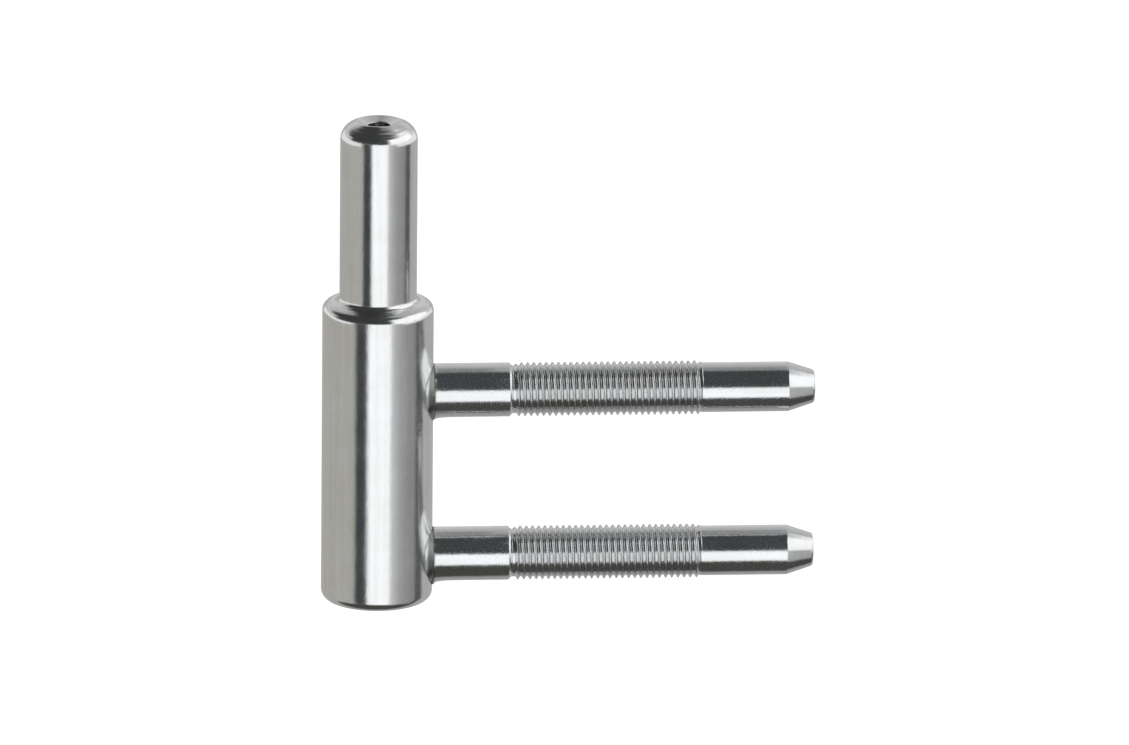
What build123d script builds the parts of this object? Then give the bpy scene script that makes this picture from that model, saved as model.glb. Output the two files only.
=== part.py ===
from build123d import *
import os
from math import cos, radians, sqrt, tan

# Frame half of a lift-off door hinge: a turned knuckle that carries the hinge pin, with two
# threaded studs welded to its side. Millimetres. The hinge axis is Z, the pin points up from
# the bearing shoulder at Z = 0, and the studs point along +X into the door frame.

# Knuckle
knuckle_diameter = 14.4
knuckle_length = 40.0
shoulder_round = 1.2
shoulder_land = 0.3
foot_round = 1.4

# Hinge pin, turned in one piece with the knuckle
pin_diameter = 10.0
pin_length = 24.1
pin_crown_slope = 21.0
pin_corner_radius = 2.4
pin_root_fillet = 0.7
pin_dish_diameter = 5.7
pin_dish_slope = 21.6
centre_hole_diameter = 2.84
centre_hole_depth = 3.0
drill_point_angle = 118.0

# Studs, with lengths along the stud's axis
stud_spacing = 22.0
seat_clear_of_rounds = 0.68
stud_diameter = 7.0
stud_shank_length = 10.35
stud_thread_length = 24.65
stud_plain_length = 10.9
stud_point_length = 3.6
thread_depth = 0.49
thread_end_angle = 45.0
stud_blank_diameter = 6.45
stud_point_angle = 18.0
stud_end_chamfer = 0.3

# Weld seats, where the studs are butt-welded to the knuckle
seat_rise = 0.1
seat_spread = 0.6
seat_embed = 0.1
seat_slope = 45.0
seat_land = 0.03
seat_blend = 0.2
weld_flare = 0.1
weld_flare_length = 0.6

knuckle_radius = knuckle_diameter / 2
pin_radius = pin_diameter / 2
hole_radius = centre_hole_diameter / 2
dish_radius = pin_dish_diameter / 2
stud_radius = stud_diameter / 2
blank_radius = stud_blank_diameter / 2

# Seat: its raised round face, and its base, which is a chord of the knuckle wide enough to bury it
weld_radius = stud_radius + weld_flare
seat_radius = weld_radius + seat_land
seat_width = seat_radius + seat_spread
seat_face = knuckle_radius + seat_rise
seat_base = sqrt(knuckle_radius**2 - (seat_width + seat_embed) ** 2)
seat_height = seat_radius + (seat_face - seat_base) / tan(radians(seat_slope))

# Studs: the lower one sits so that its blended seat just clears the rounded foot
seat_reach = seat_radius + seat_rise / tan(radians(seat_slope))
seat_reach += seat_blend * tan(radians(seat_slope / 2))
lower_stud_above_foot = foot_round + seat_clear_of_rounds + seat_reach
lower_stud_height = lower_stud_above_foot - knuckle_length
stud_heights = {
    "upper_stud": lower_stud_height + stud_spacing,
    "lower_stud": lower_stud_height,
}

# Shoulder: its two rounds leave a flat bearing ring, and the outer one ends above the upper seat
shoulder_width = knuckle_radius - pin_radius
wall_above_seat = -stud_heights["upper_stud"] - seat_reach - seat_clear_of_rounds
root_fillet = min(pin_root_fillet, shoulder_width / 3)
rim_round = min(shoulder_round, shoulder_width - root_fillet - shoulder_land, wall_above_seat)

os.makedirs("parts", exist_ok=True)


def across_stud(x, height):
    """Plane across a stud's axis, facing away from the hinge axis."""
    return Plane(origin=(x, 0, height), x_dir=(0, 1, 0), z_dir=(1, 0, 0))


# Knuckle and pin: the turned profile, with its seam on the side away from the studs
crown_width = (pin_radius - dish_radius) / cos(radians(pin_crown_slope))
crown_drop = (pin_radius - dish_radius) * tan(radians(pin_crown_slope))
corner_limit = 0.9 * crown_width / tan(radians(45 - pin_crown_slope / 2))
dish_depth = (dish_radius - hole_radius) * tan(radians(pin_dish_slope))
pin_corner = (pin_radius, pin_length - crown_drop)
pin_root = (pin_radius, 0)
shoulder_edge = (knuckle_radius, 0)
foot_edge = (knuckle_radius, -knuckle_length)
foot_centre = (0, -knuckle_length)
dish_rim = (dish_radius, pin_length)
hole_rim = (hole_radius, pin_length - dish_depth)
hole_floor = (hole_radius, pin_length - centre_hole_depth)
hole_tip = (0, hole_floor[1] - hole_radius / tan(radians(drill_point_angle / 2)))
rounded_corners = {
    pin_corner: min(pin_corner_radius, corner_limit),
    pin_root: root_fillet,
    shoulder_edge: rim_round,
    foot_edge: foot_round,
}

with BuildPart() as pin_knuckle:
    with BuildSketch(Plane(origin=(0, 0, 0), x_dir=(-1, 0, 0), z_dir=(0, 1, 0))) as turned:
        with BuildLine():
            Polyline(foot_centre, hole_tip, hole_floor, hole_rim, dish_rim, pin_corner)
            Polyline(pin_corner, pin_root, shoulder_edge, foot_edge, foot_centre)
        make_face()
        for corner, radius in rounded_corners.items():
            fillet(turned.vertices().sort_by_distance(Vertex(*corner))[0], radius)
    revolve(axis=Axis.Z)

    # Weld seats: each spreads along the knuckle at its base and ends in a flat round face
    for height in stud_heights.values():
        with BuildSketch(across_stud(seat_base, height)):
            Ellipse(seat_width, seat_height)
        with BuildSketch(across_stud(seat_face, height)):
            Circle(seat_radius)
        loft()
    seat_edges = pin_knuckle.faces().filter_by(GeomType.BSPLINE).edges()
    foot_of_seat = seat_edges.filter_by(lambda edge: edge.bounding_box().max.X < seat_face)
    fillet(foot_of_seat, seat_blend)

pin_knuckle.part.label = "pin_knuckle"
export_step(pin_knuckle.part, "parts/pin_knuckle.step")

# Studs: shank, threaded length at its outer size, plain blank and point
shank_end = seat_face + stud_shank_length
thread_end = shank_end + stud_thread_length
plain_end = thread_end + stud_plain_length
point_end = plain_end + stud_point_length
point_radius = blank_radius - stud_point_length * tan(radians(stud_point_angle))
thread_run_in = thread_depth / tan(radians(thread_end_angle))
thread_run_out = (stud_radius - blank_radius) / tan(radians(thread_end_angle))

for name, height in stud_heights.items():
    with BuildPart() as stud:
        along_stud = Plane(origin=(0, 0, height), x_dir=(1, 0, 0), z_dir=(0, -1, 0))
        with BuildSketch(along_stud) as turned:
            with BuildLine():
                Polyline(
                    (seat_face, 0),
                    (seat_face, weld_radius),
                    (seat_face + weld_flare_length, stud_radius),
                    (shank_end - thread_run_in, stud_radius),
                    (shank_end, stud_radius - thread_depth),
                    (shank_end + thread_run_in, stud_radius),
                    (thread_end - thread_run_out, stud_radius),
                    (thread_end, blank_radius),
                    (plain_end, blank_radius),
                    (point_end, point_radius),
                    (point_end, 0),
                    (seat_face, 0),
                )
            make_face()
            point_edge = Vertex(point_end, point_radius)
            chamfer(turned.vertices().sort_by_distance(point_edge)[0], stud_end_chamfer)
        revolve(axis=Axis((0, 0, height), (1, 0, 0)))

    stud.part.label = name
    export_step(stud.part, f"parts/{name}.step")
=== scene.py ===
import bmesh
import bpy
import math
import numpy as np
from mathutils import Matrix, Vector


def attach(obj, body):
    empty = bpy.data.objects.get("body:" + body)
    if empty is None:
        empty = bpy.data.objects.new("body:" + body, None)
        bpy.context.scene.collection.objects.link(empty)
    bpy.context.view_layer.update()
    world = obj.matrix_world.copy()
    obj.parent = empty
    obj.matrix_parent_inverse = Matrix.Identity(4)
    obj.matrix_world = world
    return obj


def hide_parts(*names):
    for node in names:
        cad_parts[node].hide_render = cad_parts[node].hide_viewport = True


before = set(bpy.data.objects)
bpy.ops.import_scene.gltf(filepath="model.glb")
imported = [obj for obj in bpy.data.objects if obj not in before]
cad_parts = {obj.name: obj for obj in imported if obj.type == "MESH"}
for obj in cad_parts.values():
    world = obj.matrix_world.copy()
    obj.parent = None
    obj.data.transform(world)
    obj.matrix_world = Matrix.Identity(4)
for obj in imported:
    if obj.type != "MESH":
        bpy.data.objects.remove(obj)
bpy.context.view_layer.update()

# The frame half of a lift-off door hinge. Three fine meshes take the place of its solids: the
# turned knuckle with its pin, and two threaded studs.
MM = 0.001
FULL_TURN = 2 * math.pi
scene = bpy.context.scene

# ---------------------------------------------------------------- sizes, in millimetres
# Knuckle and pin, turned about the Z axis with the shoulder at 0
KNUCKLE_RADIUS = 7.2
SHOULDER_ROUND = 1.2
FOOT = -40.0
FOOT_ROUND = 1.4
PIN_RADIUS = 5.0
PIN_TOP = 24.1
ROOT_FILLET = 0.7
CORNER_ROUND = 2.4
CROWN_SLOPE = math.tan(math.radians(21.0))
DISH_RADIUS = 2.85
DISH_DEPTH = 0.566
DISH_EDGE_ROUND = 0.34
HOLE_RADIUS = 1.42
HOLE_FLOOR = 21.1
HOLE_TIP = HOLE_FLOOR - 0.85

# The crown and the shoulder fall off more steeply on the side that faces the lens
LENS_SIDE = math.radians(-94.0)
LENS_SIDE_REACH = math.radians(75.0)
CROWN_DROP = 0.26
CROWN_DROP_SLOPE = 0.32
CROWN_FOOT = 21.6
RIM_SLOPE = math.radians(26.0)
RIM_ROUND = 1.28

# Weld seats: wider and longer at the base than at the round face
SEAT_RADIUS = 3.53
SEAT_FACE = 7.25
SEAT_BASE = 5.9
SEAT_SPREAD = 0.55
SEAT_LENGTHENING = 0.78 * (SEAT_FACE - SEAT_BASE)
SEAT_BLEND = 0.1
SHARE_LIMIT = 1.3
NO_SEAT = -50.0

# Studs along +X: weld flare, shank, thread, plain blank and point
STUD_HEIGHTS = {"upper_stud": -12.1, "lower_stud": -34.1}
STUD_START = 7.05
STUD_RADIUS = 3.5
SHANK_END = 17.44
THREAD_END = 42.05
BLANK_RADIUS = 3.225
PLAIN_END = 53.12
POINT_END = 56.58
POINT_SLOPE = math.tan(math.radians(18.0))
COLUMNS = 80

# Thread
PITCH = 0.8
FIRST_CREST = 16.9
ROOT_RADIUS = 3.08
CREST_ROUND = 0.11
ROOT_ROUND = 0.163
RUN_IN = 0.75
RUN_OUT = 0.55
UNEVENNESS = 0.012

# Weld flare, in rows of distance along the stud, radius and size of the waves in its edge
FLARE_ROWS = (
    (0.0, 3.53, 0.0),
    (0.15, 3.53, 0.01),
    (0.19, 3.53, 0.02),
    (0.24, 3.525, 0.02),
    (0.32, 3.515, 0.014),
    (0.45, 3.505, 0.006),
    (0.62, 3.5, 0.0),
    (0.8, 3.5, 0.0),
    (1.1, 3.5, 0.0),
    (1.5, 3.5, 0.0),
    (2.0, 3.5, 0.0),
    (2.6, 3.5, 0.0),
    (3.4, 3.5, 0.0),
)
# Nubs on it, as (degrees round the stud, size), and how far it has run down under the stud
WELDS = {
    "upper_stud": {"seed": 11, "nubs": ((262.0, 0.06),), "sag": 0.40},
    "lower_stud": {"seed": 12, "nubs": ((96.0, 0.22), (255.0, 0.16)), "sag": 0.50},
}
NUB_PLACE, NUB_LENGTH, NUB_WIDTH = 0.25, 0.16, 0.11
SAG_LENGTH, SAG_WIDTH = 0.75, 0.55
UNDERSIDE = 270.0


# ---------------------------------------------------------------- node trees
def add(tree, kind, inputs=None, **settings):
    """A new node. Its inputs take a number, a colour or another node's socket."""
    node = tree.nodes.new(kind)
    for key, value in settings.items():
        setattr(node, key, value)
    for key, value in (inputs or {}).items():
        if isinstance(value, bpy.types.NodeSocket):
            tree.links.new(value, node.inputs[key])
        else:
            node.inputs[key].default_value = value
    return node


def calc(tree, operation, first, second=0.0):
    """A Math node's output."""
    inputs = {0: first, 1: second}
    return add(tree, "ShaderNodeMath", operation=operation, inputs=inputs).outputs[0]


def both(tree, first, second):
    """Where two masks overlap."""
    return calc(tree, "MULTIPLY", first, second)


def dot(tree, vector, axis):
    """How far a direction goes along an axis."""
    inputs = {0: vector, 1: axis}
    node = add(tree, "ShaderNodeVectorMath", operation="DOT_PRODUCT", inputs=inputs)
    return node.outputs["Value"]


def remap(tree, value, low, high, to_low=0.0, to_high=1.0, curve="LINEAR"):
    """A value carried over from one range to another."""
    inputs = {"Value": value, "From Min": low, "From Max": high}
    inputs |= {"To Min": to_low, "To Max": to_high}
    node = add(tree, "ShaderNodeMapRange", interpolation_type=curve, inputs=inputs)
    return node.outputs["Result"]


def step_up(tree, value, edge, soft):
    """0 below the edge and 1 above it, with a soft change of that half width."""
    return remap(tree, value, edge - soft, edge + soft, curve="SMOOTHSTEP")


def step_down(tree, value, edge, soft):
    """1 below the edge and 0 above it."""
    return calc(tree, "SUBTRACT", 1.0, step_up(tree, value, edge, soft))


def within(tree, value, low, high, soft):
    """1 between two edges, and 0 outside them."""
    return both(tree, step_up(tree, value, low, soft), step_down(tree, value, high, soft))


def mix(tree, factor, first, second):
    """Blends two colours."""
    inputs = {0: factor, 6: first, 7: second}
    return add(tree, "ShaderNodeMix", data_type="RGBA", inputs=inputs).outputs[2]


def noise(tree, place, scale, detail, roughness=0.5):
    """A noise texture's value."""
    inputs = {"Vector": place, "Scale": scale, "Detail": detail, "Roughness": roughness}
    return add(tree, "ShaderNodeTexNoise", inputs=inputs).outputs["Fac"]


def grey(level, red=1.0, green=1.0, blue=1.0):
    """A grey colour, with factors for a slight cast."""
    return (level * red, level * green, level * blue, 1.0)


def by_angle(tree, value, stops):
    """A grey read from a list of (angle, level) pairs, straight between them."""
    low, high = stops[0][0], stops[-1][0]
    node = add(tree, "ShaderNodeValToRGB", inputs={"Fac": remap(tree, value, low, high)})
    ramp = node.color_ramp
    while len(ramp.elements) < len(stops):
        ramp.elements.new(0.5)
    for element, (angle, level) in zip(ramp.elements, stops):
        element.position = (angle - low) / (high - low)
        element.color = grey(level)
    return node.outputs["Color"]


# ---------------------------------------------------------------- camera
PHOTO_WIDTH, PHOTO_HEIGHT = 1129, 745
PIXELS_PER_MM = 7.75
DISTANCE = 3.0
ELEVATION = math.radians(16.0)
YAW = math.radians(4.0)
ROLL = math.radians(0.46)
ORIGIN_PIXEL = (378.1, 300.75)

forward = Vector(
    (math.sin(YAW) * math.cos(ELEVATION), math.cos(YAW) * math.cos(ELEVATION), -math.sin(ELEVATION))
)
right = Vector((math.cos(YAW), -math.sin(YAW), 0.0))
up = right.cross(forward)
right, up = (
    right * math.cos(ROLL) + up * math.sin(ROLL),
    up * math.cos(ROLL) - right * math.sin(ROLL),
)
aim = right * ((PHOTO_WIDTH / 2 - ORIGIN_PIXEL[0]) / PIXELS_PER_MM * MM)
aim -= up * ((PHOTO_HEIGHT / 2 - ORIGIN_PIXEL[1]) / PIXELS_PER_MM * MM)

camera_data = bpy.data.cameras.new("camera")
camera_data.sensor_width = 36.0
camera_data.lens = PIXELS_PER_MM * DISTANCE / MM / PHOTO_WIDTH * camera_data.sensor_width
camera_data.clip_start = 0.01
camera_data.clip_end = 50.0
camera = bpy.data.objects.new("camera", camera_data)
scene.collection.objects.link(camera)
rotation = Matrix((right, up, -forward)).transposed().to_4x4()
camera.matrix_world = Matrix.Translation(aim - forward * DISTANCE) @ rotation
scene.camera = camera
scene.view_settings.view_transform = "Standard"

# ---------------------------------------------------------------- studio light
# The metal shows the studio round it: a white card in front of it and below the lens, a softbox
# on the right, dark cloth above, beside and below the lens, a pale strip low on each side, a dark
# slot far to the right, and pale grey walls. Angles are in degrees from the direction of the
# camera: across to its right, and up. front and side are parts of a direction of length 1.
world = bpy.data.worlds.new("studio")
scene.world = world
world.use_nodes = True
sky = world.node_tree
sky.nodes.clear()
way = add(sky, "ShaderNodeTexCoord").outputs["Generated"]
front = dot(sky, way, Vector((-math.sin(YAW), -math.cos(YAW), 0.0)))
side = dot(sky, way, Vector((math.cos(YAW), -math.sin(YAW), 0.0)))
upward = dot(sky, way, (0.0, 0.0, 1.0))
across = calc(sky, "DEGREES", calc(sky, "ARCTAN2", side, front))
rise = calc(sky, "DEGREES", calc(sky, "ARCSINE", upward))

# Levels by angle up: the walls are darker overhead and underfoot than near the horizon
WALL_LEVELS = (
    (-90.0, 0.30),
    (-10.0, 0.55),
    (5.0, 0.72),
    (25.0, 0.66),
    (56.0, 0.49),
    (80.0, 0.40),
    (90.0, 0.38),
)
# Levels by angle across: the wall on the right fades away from the card
FADING_LEVELS = (
    (24.0, 0.90),
    (29.0, 0.70),
    (33.0, 0.63),
    (47.0, 0.44),
    (60.0, 0.35),
    (75.0, 0.30),
    (88.0, 0.30),
)
SIDE_WALL_RISE = (-45.0, 14.0, 8.0)
CARD_RISE = (-35.5, 11.0, 2.5)
STRIP_RISE = (-8.5, 11.0, 1.5)
DARK_CLOTH = grey(0.066, 0.92, 1.0, 1.06)
STRIP = grey(0.95)


def patch(across_edges, rise_edges):
    """A mask over part of the studio, from (low, high, softness) across and up."""
    return both(sky, within(sky, across, *across_edges), within(sky, rise, *rise_edges))


cloth_above = both(sky, step_up(sky, front, -0.12, 0.10), step_up(sky, rise, 11.5, 2.5))
left_of_softbox = step_down(sky, side, 0.47, 0.06)
cloth_behind = both(sky, step_up(sky, front, -0.48, 0.12), step_up(sky, rise, 30.0, 5.0))
left_of_studs = step_down(sky, side, 0.03, 0.05)
downward = calc(sky, "MULTIPLY", rise, -1.0)
cloth_below = both(sky, step_up(sky, front, -0.2, 0.03), step_up(sky, downward, 35.5, 2.5))

# Each area hides those before it
areas = (
    (patch((-178.0, -44.0, 2.0), SIDE_WALL_RISE), grey(0.46, 1.03, 1.01, 0.94)),  # left wall
    (both(sky, cloth_above, left_of_softbox), DARK_CLOTH),
    (both(sky, cloth_behind, left_of_studs), grey(0.05)),
    (cloth_below, grey(0.072, 1.03, 1.0, 0.92)),
    (patch((-46.0, -18.0, 1.5), CARD_RISE), DARK_CLOTH),  # cloth left of the card
    (patch((24.0, 88.0, 1.5), (-40.0, 11.0, 2.5)), by_angle(sky, across, FADING_LEVELS)),
    (patch((104.0, 178.0, 2.0), SIDE_WALL_RISE), grey(0.48)),  # right wall
    (patch((87.0, 107.0, 2.0), (-60.0, 2.0, 3.0)), grey(0.095)),  # slot
    (patch((-20.3, 28.0, 2.2), CARD_RISE), grey(1.24, 0.99, 1.0, 1.01)),  # card
    (patch((36.0, 124.0, 5.0), (8.0, 57.0, 3.0)), grey(1.26)),  # softbox
    (patch((-150.0, -54.0, 3.0), STRIP_RISE), STRIP),
    (patch((54.0, 150.0, 3.0), STRIP_RISE), STRIP),
)
studio = by_angle(sky, rise, WALL_LEVELS)
for mask, colour in areas:
    studio = mix(sky, mask, studio, colour)

seen = add(sky, "ShaderNodeLightPath").outputs["Is Camera Ray"]
backdrop = add(sky, "ShaderNodeBackground", inputs={"Color": grey(1.0), "Strength": 1.0})
lit = add(sky, "ShaderNodeBackground", inputs={"Color": studio, "Strength": 1.0})
either = add(
    sky, "ShaderNodeMixShader", inputs={0: seen, 1: lit.outputs[0], 2: backdrop.outputs[0]}
)
add(sky, "ShaderNodeOutputWorld", inputs={"Surface": either.outputs[0]})

# ---------------------------------------------------------------- materials
# Scales of the noises, per metre
MARKS_ACROSS, MARKS_ALONG = 1260.0, 45.0
CLOUD_SCALE = 260.0
COARSE_SCALE = 900.0
FINE_SCALE = 7000.0
SPECK_SCALE = 6500.0

# Tint where the marks and clouds are weakest and strongest, as factors of the plate's own
DARKEST_AT, DARKEST = 0.36, (0.93, 0.925, 0.90)
LIGHTEST_AT, LIGHTEST = 0.64, (1.03, 1.035, 1.05)

# Painted shade at the weld seats, where stud and knuckle meet, in metres from the hinge axis and
# from a stud's axis
SEAT_SHADE_START, SEAT_SHADE_END, SEAT_SHADE_REACH, SEAT_SHADE_SOFT = 0.0064, 0.00735, 0.0040, 0.00015
PAINTED_SEAT_SHADE, SEAT_SHADE_SHARE, SEAT_SHADE_ROUGHNESS = (0.155, 0.178, 0.15, 1.0), 0.88, 0.14


def zinc(name, along, tint, roughness, grain, specks):
    """Bright zinc plate over steel. along is the object axis that the tool marks follow."""
    material = bpy.data.materials.new(name)
    material.use_nodes = True
    tree = material.node_tree
    tree.nodes.clear()
    place = add(tree, "ShaderNodeTexCoord").outputs["Object"]
    cloud = noise(tree, place, CLOUD_SCALE, 4.0, 0.6)

    # Colour: faint marks and clouds
    stretch = [MARKS_ALONG if axis == along else MARKS_ACROSS for axis in "XYZ"]
    stretched = add(
        tree, "ShaderNodeVectorMath", operation="MULTIPLY", inputs={0: place, 1: stretch}
    )
    marks = noise(tree, stretched.outputs[0], 1.0, 3.0)
    shift = calc(
        tree, "ADD", calc(tree, "MULTIPLY", marks, 0.55), calc(tree, "MULTIPLY", cloud, 0.45)
    )
    shades = add(tree, "ShaderNodeValToRGB", inputs={"Fac": shift})
    ends = ((DARKEST_AT, DARKEST), (LIGHTEST_AT, LIGHTEST))
    for element, (position, factors) in zip(shades.color_ramp.elements, ends):
        element.position = position
        element.color = (*(level * factor for level, factor in zip(tint, factors)), 1.0)

    # Painted shade: darker at the weld seats, where stud and knuckle meet, and duller there too
    x, y, z = add(tree, "ShaderNodeSeparateXYZ", inputs={0: place}).outputs[:3]
    y_squared = calc(tree, "MULTIPLY", y, y)
    near_axes = []
    for height in STUD_HEIGHTS.values():
        off = calc(tree, "SUBTRACT", z, height * MM)
        off_squared = calc(tree, "MULTIPLY", off, off)
        from_axis = calc(tree, "SQRT", calc(tree, "ADD", y_squared, off_squared))
        near_axes.append(step_down(tree, from_axis, SEAT_SHADE_REACH, SEAT_SHADE_SOFT))
    seat_shade_mask = calc(tree, "MAXIMUM", *near_axes)
    seat_shade_mask = both(tree, seat_shade_mask, within(tree, x, SEAT_SHADE_START, SEAT_SHADE_END, SEAT_SHADE_SOFT))
    seat_shade_amount = calc(tree, "MULTIPLY", seat_shade_mask, SEAT_SHADE_SHARE)
    # The dark tint mixed in here is painted shade at the seats
    plate = mix(tree, seat_shade_amount, shades.outputs["Color"], PAINTED_SEAT_SHADE)

    # Roughness: clouds, matt specks, and more at the weld seats under the painted shade
    clouded = remap(tree, cloud, 0.3, 0.7, roughness * 0.85, roughness * 1.2)
    matt_specks = remap(tree, noise(tree, place, SPECK_SCALE, 3.0, 0.65), 0.5, 0.67, 0.0, specks)
    seat_shade_dulling = calc(tree, "MULTIPLY", seat_shade_mask, SEAT_SHADE_ROUGHNESS)
    dull = calc(tree, "ADD", clouded, calc(tree, "ADD", matt_specks, seat_shade_dulling))

    # Relief of some micrometres
    fine = calc(tree, "MULTIPLY", noise(tree, place, FINE_SCALE, 2.0, 0.55), grain)
    coarse = calc(tree, "MULTIPLY", noise(tree, place, COARSE_SCALE, 2.0), grain * 1.6)
    relief = calc(tree, "ADD", fine, coarse)
    bump = add(
        tree, "ShaderNodeBump", inputs={"Height": relief, "Strength": 1.0, "Distance": 1e-6}
    )
    surface = {"Base Color": plate, "Metallic": 1.0, "Roughness": dull}
    surface["Normal"] = bump.outputs["Normal"]
    metal = add(tree, "ShaderNodeBsdfPrincipled", inputs=surface)
    add(tree, "ShaderNodeOutputMaterial", inputs={"Surface": metal.outputs[0]})
    return material


turned_zinc = zinc("turned_zinc_plate", "Z", (0.77, 0.775, 0.78), 0.12, 9.0, 0.125)
rolled_zinc = zinc("rolled_zinc_plate", "X", (0.76, 0.77, 0.78), 0.13, 8.0, 0.155)


# ---------------------------------------------------------------- meshes
def smooth(value):
    """0 up to 0 and 1 from 1 on, with a soft change between."""
    value = np.clip(value, 0.0, 1.0)
    return value * value * (3 - 2 * value)


def hump(angles, at, width):
    """1 at an angle in degrees, falling off to 0 on both sides of it."""
    off = (angles - math.radians(at) + math.pi) % FULL_TURN - math.pi
    return np.exp(-((off / width) ** 2))


def arc(centre, radius, start, end, steps):
    """Points (r, z) on an arc. Angles in degrees from the r axis towards +Z."""
    turns = np.radians(np.linspace(start, end, steps + 1))
    return [(centre[0] + radius * math.cos(t), centre[1] + radius * math.sin(t)) for t in turns]


def spread(first, last, count):
    """Points between two ends, without the ends."""
    first, last = np.array(first), np.array(last)
    return [tuple(first + (last - first) * k / (count + 1)) for k in range(1, count + 1)]


def close_end(points, faces, centre, first, second, reverse):
    """Closes an open end with triangles from a centre point to pairs of corners."""
    hub = len(points)
    points.append(centre)
    for a, b in zip(first, second):
        faces.append([b, a, hub] if reverse else [hub, a, b])


def make_piece(name, points, faces, material):
    """A smooth-shaded object from points in millimetres, with its faces outward."""
    mesh = bpy.data.meshes.new(name)
    mesh.from_pydata([[c * MM for c in point] for point in points], [], faces)
    mesh.validate()
    outward = bmesh.new()
    outward.from_mesh(mesh)
    bmesh.ops.recalc_face_normals(outward, faces=outward.faces)
    outward.to_mesh(mesh)
    outward.free()
    mesh.polygons.foreach_set("use_smooth", [True] * len(mesh.polygons))
    mesh.materials.append(material)
    piece = bpy.data.objects.new(name, mesh)
    scene.collection.objects.link(piece)
    return piece


# ---------------------------------------------------------------- knuckle and pin
def turned_profile():
    """The outline as (r, z), from the centre hole's bottom over the pin's end to the foot."""
    crown = math.atan(CROWN_SLOPE)
    dish = math.atan2(DISH_DEPTH, DISH_RADIUS - HOLE_RADIUS)
    mouth = PIN_TOP - DISH_DEPTH

    # Centre hole, with a drilled point and a broken edge
    rows = [
        (0.35, HOLE_FLOOR - 0.64),
        (HOLE_RADIUS - 0.03, HOLE_FLOOR - 0.01),
        (HOLE_RADIUS, HOLE_FLOOR + 0.03),
    ]
    rows += spread(rows[-1], (HOLE_RADIUS, mouth - 0.09), 2)
    hole_edge = ((0.0, -0.09), (0.0, -0.05), (0.008, -0.022), (0.025, 0.0), (0.055, 0.02))
    rows += [(HOLE_RADIUS + wider, mouth + higher) for wider, higher in hole_edge]

    # Dish, and its rounded edge
    reach = DISH_EDGE_ROUND * math.tan((crown + dish) / 2)
    edge_start = (DISH_RADIUS - reach * math.cos(dish), PIN_TOP - reach * math.sin(dish))
    edge_centre = (
        edge_start[0] + DISH_EDGE_ROUND * math.sin(dish),
        edge_start[1] - DISH_EDGE_ROUND * math.cos(dish),
    )
    rows += spread(rows[-1], edge_start, 7)
    rows += arc(
        edge_centre, DISH_EDGE_ROUND, 90 + math.degrees(dish), 90 - math.degrees(crown), 5
    )

    # Crown, and the pin's rounded corner
    corner_height = PIN_TOP - (PIN_RADIUS - DISH_RADIUS) * CROWN_SLOPE
    reach = CORNER_ROUND * math.tan(math.pi / 4 - crown / 2)
    corner_centre = (PIN_RADIUS - CORNER_ROUND, corner_height - reach)
    corner_start = (
        corner_centre[0] + CORNER_ROUND * math.sin(crown),
        corner_centre[1] + CORNER_ROUND * math.cos(crown),
    )
    rows += spread(rows[-1], corner_start, 3)
    rows += arc(corner_centre, CORNER_ROUND, 90 - math.degrees(crown), 0, 22)

    # Pin, its root and the shoulder
    rows += spread(rows[-1], (PIN_RADIUS, ROOT_FILLET), 24)
    rows += arc((PIN_RADIUS + ROOT_FILLET, ROOT_FILLET), ROOT_FILLET, 180, 270, 12)
    flat_end = KNUCKLE_RADIUS - SHOULDER_ROUND
    rows += spread(rows[-1], (flat_end, 0.0), 5)
    rows += arc((flat_end, -SHOULDER_ROUND), SHOULDER_ROUND, 90, 0, 24)

    # Wall, with its rows closest at the weld seats, and the rounded foot
    heights = [-SHOULDER_ROUND - 0.5 - k * 0.7 for k in range(1, 9)]
    for height in STUD_HEIGHTS.values():
        heights += list(np.arange(height + 4.15, height - 4.16, -0.118))
    between_seats = (STUD_HEIGHTS["upper_stud"] - 4.9, STUD_HEIGHTS["lower_stud"] + 4.6)
    heights += list(np.arange(*between_seats, -0.75))
    heights = sorted((h for h in heights if h > FOOT + FOOT_ROUND + 0.04), reverse=True)
    rows += [(KNUCKLE_RADIUS, h) for h in heights]
    rows += arc((KNUCKLE_RADIUS - FOOT_ROUND, FOOT + FOOT_ROUND), FOOT_ROUND, 0, -90, 16)
    rows += [(5.4, FOOT), (3.0, FOOT), (0.6, FOOT)]
    return rows


def seat_surface(y, z):
    """How far along X the weld seats reach over each (y, z), and NO_SEAT beside them."""
    x = np.full(y.shape, NO_SEAT)
    for height in STUD_HEIGHTS.values():
        # Halves its way to the section between face and base that runs through (y, z)
        low, high = np.zeros(y.shape), np.full(y.shape, SHARE_LIMIT)
        for _ in range(24):
            share = (low + high) / 2
            half_width = SEAT_RADIUS + SEAT_SPREAD * share
            half_height = SEAT_RADIUS + SEAT_LENGTHENING * share
            outside = (y / half_width) ** 2 + ((z - height) / half_height) ** 2 > 1
            low, high = np.where(outside, share, low), np.where(outside, high, share)
        reach = SEAT_FACE - (SEAT_FACE - SEAT_BASE) * share
        x = np.maximum(x, np.where(share < SHARE_LIMIT - 0.01, reach, NO_SEAT))
    return x


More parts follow.
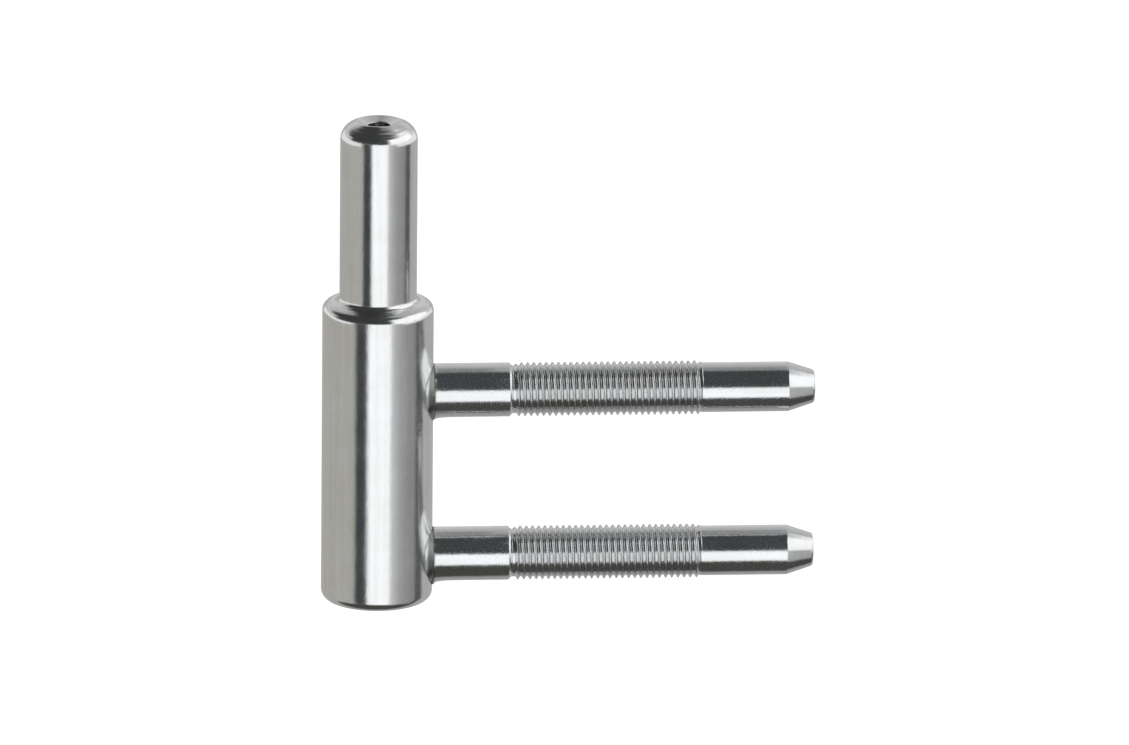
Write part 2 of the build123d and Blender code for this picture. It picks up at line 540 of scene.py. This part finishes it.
def turned_knuckle():
    """The knuckle with its pin as one closed mesh. Its columns are closest at the weld seats."""
    rows = np.array(turned_profile())
    at_seats = np.radians(np.arange(-40.0, 40.01, 0.95))
    elsewhere = np.radians(np.linspace(44.5, 315.5, 66))
    angles = np.concatenate([at_seats, elsewhere])
    columns = len(angles)
    r, z = rows[:, :1], rows[:, 1:] + np.zeros((1, columns))
    x, y = r * np.cos(angles), r * np.sin(angles)

    # Weld seats, blended onto the wall
    seat = seat_surface(y, z)
    share = np.clip(0.5 + (seat - x) / (2 * SEAT_BLEND), 0, 1)
    joined = x * (1 - share) + seat * share + SEAT_BLEND * share * (1 - share)
    on_wall = (np.abs(r - KNUCKLE_RADIUS) < 1e-6) & (np.abs(angles) < math.radians(41))
    x = np.where(on_wall & (seat > x - SEAT_BLEND), np.minimum(joined, SEAT_FACE), x)

    # The crown falls off more steeply toward the lens
    toward_lens = smooth((np.cos(angles - LENS_SIDE) - math.cos(LENS_SIDE_REACH)) / 0.6)
    drop = np.clip((r - DISH_RADIUS - 0.12) * CROWN_DROP_SLOPE, 0.0, CROWN_DROP)
    drop = drop * (1 - smooth((r - 4.2) / 0.75)) * toward_lens
    z = np.where((z > CROWN_FOOT) & (r > DISH_RADIUS), z - drop, z)

    # The shoulder slopes on that side, down to a round rim
    ring_end = PIN_RADIUS + ROOT_FILLET + 0.05
    rim_start = KNUCKLE_RADIUS - RIM_ROUND * (1 - math.sin(RIM_SLOPE))
    rim_height = -(rim_start - ring_end) * math.tan(RIM_SLOPE)
    rim_centre = rim_height - RIM_ROUND * math.cos(RIM_SLOPE)
    rim_squared = np.clip(RIM_ROUND**2 - (r - KNUCKLE_RADIUS + RIM_ROUND) ** 2, 0.0, None)
    on_slope = -np.clip(r - ring_end, 0.0, None) * math.tan(RIM_SLOPE)
    sloped = np.where(r > rim_start, rim_centre + np.sqrt(rim_squared), on_slope)
    shoulder = (z <= 0.0) & (z > -SHOULDER_ROUND - 1e-6) & (r > PIN_RADIUS + ROOT_FILLET - 1e-6)
    z = np.where(shoulder, z + (np.minimum(sloped, z) - z) * toward_lens, z)

    points = np.stack([x, y, z], axis=2).reshape(-1, 3).tolist()
    index = np.arange(len(points)).reshape(-1, columns)
    following = np.roll(index, -1, axis=1)
    faces = []
    for k in range(len(rows) - 1):
        corners = (index[k], index[k + 1], following[k + 1], following[k])
        faces += np.stack(corners, axis=1).tolist()
    for row, height, reverse in ((0, HOLE_TIP, True), (-1, FOOT, False)):
        first, second = following[row].tolist(), index[row].tolist()
        close_end(points, faces, [0.0, 0.0, height], first, second, reverse)
    return make_piece("turned_knuckle", points, faces, turned_zinc)


knuckle = turned_knuckle()
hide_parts("pin_knuckle")
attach(knuckle, "root")


# ---------------------------------------------------------------- studs
def thread_rows():
    """One pitch of the thread, as distances along it from a crest and depths below the crest."""
    rows = []
    for angle in (0.0, 20.0, 40.0, 60.0):
        turn = math.radians(angle)
        rows.append((CREST_ROUND * math.sin(turn), CREST_ROUND * (1 - math.cos(turn))))
    depth = STUD_RADIUS - ROOT_RADIUS
    for angle in (60.0, 40.0, 20.0, 0.0):
        turn = math.radians(angle)
        along = PITCH / 2 - ROOT_ROUND * math.sin(turn)
        rows.append((along, depth - ROOT_ROUND * (1 - math.cos(turn))))
    mirrored = [(PITCH - along, down) for along, down in reversed(rows[1:-1])]
    return rows + mirrored


def threaded_stud(name, height, seed, nubs, sag):
    """One stud as a closed mesh. Its rows run along +X, and the thread's follow the helix."""
    rng = np.random.default_rng(seed)
    angles = np.arange(COLUMNS) * FULL_TURN / COLUMNS
    rows = []  # each row holds the distance along X and the radius of every column

    def ring(x, radius):
        rows.append((np.full(COLUMNS, x), radius + np.zeros(COLUMNS)))

    # Weld flare, with its uneven edge
    waves = sum(
        rng.uniform(0.3, 1.0) * np.sin(k * angles + rng.uniform(0, 6.28)) / k for k in range(2, 12)
    )
    waves = waves / np.abs(waves).max()
    lump = sum(size * hump(angles, at, NUB_WIDTH) for at, size in nubs)
    under = hump(angles, UNDERSIDE, SAG_WIDTH)
    for x, radius, wave in FLARE_ROWS:
        near_nub = math.exp(-(((x - NUB_PLACE) / NUB_LENGTH) ** 2))
        run_down = sag * under * math.exp(-x / SAG_LENGTH)
        ring(STUD_START + x, radius + wave * waves + lump * near_nub + run_down)

    # Shank, and the groove at its end
    groove = SHANK_END - (STUD_RADIUS - ROOT_RADIUS)
    ring(groove - 3.0, STUD_RADIUS)
    ring(groove - 0.06, STUD_RADIUS)
    ring(groove - 0.015, STUD_RADIUS - 0.008)
    ring(groove + 0.03, STUD_RADIUS - 0.035)
    ring(SHANK_END - 0.05, ROOT_RADIUS + 0.05)
    ring(SHANK_END - 0.01, ROOT_RADIUS + 0.02)

    # Thread, which runs in from the groove and out onto the blank
    thread_start = SHANK_END + 0.03
    first_threaded = len(rows)
    profile = thread_rows()
    per_turn = len(profile)
    turns = math.ceil((THREAD_END - FIRST_CREST) / PITCH) + 1
    wobble = rng.uniform(-1.0, 1.0, turns + 2)
    for k in range(turns * per_turn + 1):
        turn, step = divmod(k, per_turn)
        along, down = profile[step]
        x = FIRST_CREST + turn * PITCH + along + PITCH * angles / FULL_TURN - PITCH
        turned = turn + along / PITCH + angles / FULL_TURN
        uneven = UNEVENNESS * np.interp(turned, np.arange(turns + 2), wobble)
        crest_share = 1 - down / (STUD_RADIUS - ROOT_RADIUS)
        full = STUD_RADIUS - down + uneven * crest_share
        radius = ROOT_RADIUS + (full - ROOT_RADIUS) * smooth((x - thread_start) / RUN_IN)
        radius = BLANK_RADIUS + (radius - BLANK_RADIUS) * smooth((THREAD_END - x) / RUN_OUT)
        rows.append((np.clip(x, thread_start, THREAD_END), radius))
    last_threaded = len(rows) - 1

    # Plain blank, and the point with its rounded end
    ring(THREAD_END + 0.05, BLANK_RADIUS)
    ring(THREAD_END + 2.0, BLANK_RADIUS)
    ring(PLAIN_END - 1.0, BLANK_RADIUS)
    ring(PLAIN_END - 0.07, BLANK_RADIUS)
    ring(PLAIN_END - 0.02, BLANK_RADIUS - 0.002)
    ring(PLAIN_END + 0.03, BLANK_RADIUS - 0.013)
    ring(PLAIN_END + 0.09, BLANK_RADIUS - 0.09 * POINT_SLOPE)
    point_radius = BLANK_RADIUS - (POINT_END - PLAIN_END) * POINT_SLOPE
    rounding = ((0.36, 0.0), (0.27, 0.005), (0.16, 0.04), (0.07, 0.11), (0.015, 0.21), (0.0, 0.34))
    for back, inward in rounding:
        ring(POINT_END - back, point_radius + back * POINT_SLOPE - inward)
    ring(POINT_END, 0.8)

    # Points: where an end of the thread cuts rows off, each column has one point for all of them
    index = np.zeros((len(rows), COLUMNS), int)
    points = []
    end_points = {}
    for k, (x, radius) in enumerate(rows):
        for j in range(COLUMNS):
            key = None
            if first_threaded <= k <= last_threaded:
                if x[j] <= thread_start:
                    key = ("start", j)
                elif x[j] >= THREAD_END:
                    key = ("end", j)
            if key in end_points:
                index[k, j] = end_points[key]
                continue
            index[k, j] = len(points)
            if key:
                end_points[key] = len(points)
            y, z = radius[j] * math.cos(angles[j]), height + radius[j] * math.sin(angles[j])
            points.append((x[j], y, z))

    faces = []
    for k in range(len(rows) - 1):
        for j in range(COLUMNS):
            following, low, high = (j + 1) % COLUMNS, k, k + 1
            if following == 0 and first_threaded <= k < last_threaded:
                # The helix has moved on by one pitch when it comes round to the first column
                low, high = (min(row + per_turn, last_threaded) for row in (k, k + 1))
            corners = [index[k, j], index[low, following], index[high, following], index[k + 1, j]]
            kept = [c for n, c in enumerate(corners) if c != corners[n - 1]]
            if len(kept) > 2:
                faces.append([int(c) for c in reversed(kept)])
    for row, reverse in ((0, True), (-1, False)):
        corners = index[row].tolist()
        centre = (float(rows[row][0][0]), 0.0, height)
        close_end(points, faces, centre, corners, corners[1:] + corners[:1], reverse)
    return make_piece(name, points, faces, rolled_zinc)


for node, weld in WELDS.items():
    stud = threaded_stud("threaded_" + node, STUD_HEIGHTS[node], **weld)
    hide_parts(node)
    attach(stud, "root")


# ---------------------------------------------------------------- floor
# It lies well below the foot, and glows a little for the camera. From below it is clear.
FLOOR_HEIGHT = -0.14
FLOOR_REACH = 3
FLOOR_LEVEL = 0.85
FLOOR_GLOW = 0.75


def floor_paint():
    """Pale paint, white to the camera and clear from below."""
    material = bpy.data.materials.new("floor_paint")
    material.use_nodes = True
    tree = material.node_tree
    tree.nodes.clear()
    paint = add(tree, "ShaderNodeBsdfDiffuse", inputs={"Color": grey(FLOOR_LEVEL)})
    glow = add(tree, "ShaderNodeEmission", inputs={"Color": grey(1.0), "Strength": FLOOR_GLOW})
    white = add(tree, "ShaderNodeAddShader", inputs={0: paint.outputs[0], 1: glow.outputs[0]})
    clear = add(tree, "ShaderNodeBsdfTransparent")
    to_camera = add(tree, "ShaderNodeLightPath").outputs["Is Camera Ray"]
    from_below = add(tree, "ShaderNodeNewGeometry").outputs["Backfacing"]
    above = {0: to_camera, 1: paint.outputs[0], 2: white.outputs[0]}
    from_above = add(tree, "ShaderNodeMixShader", inputs=above)
    sides = {0: from_below, 1: from_above.outputs[0], 2: clear.outputs[0]}
    shown = add(tree, "ShaderNodeMixShader", inputs=sides)
    add(tree, "ShaderNodeOutputMaterial", inputs={"Surface": shown.outputs[0]})
    return material


floor_mesh = bpy.data.meshes.new("floor")
corner_signs = ((-1, -1), (1, -1), (1, 1), (-1, 1))
floor_corners = [(x * FLOOR_REACH, y * FLOOR_REACH, FLOOR_HEIGHT) for x, y in corner_signs]
floor_mesh.from_pydata(floor_corners, [], [(0, 1, 2, 3)])
floor_mesh.materials.append(floor_paint())
floor = bpy.data.objects.new("floor", floor_mesh)
scene.collection.objects.link(floor)
floor.visible_glossy = False
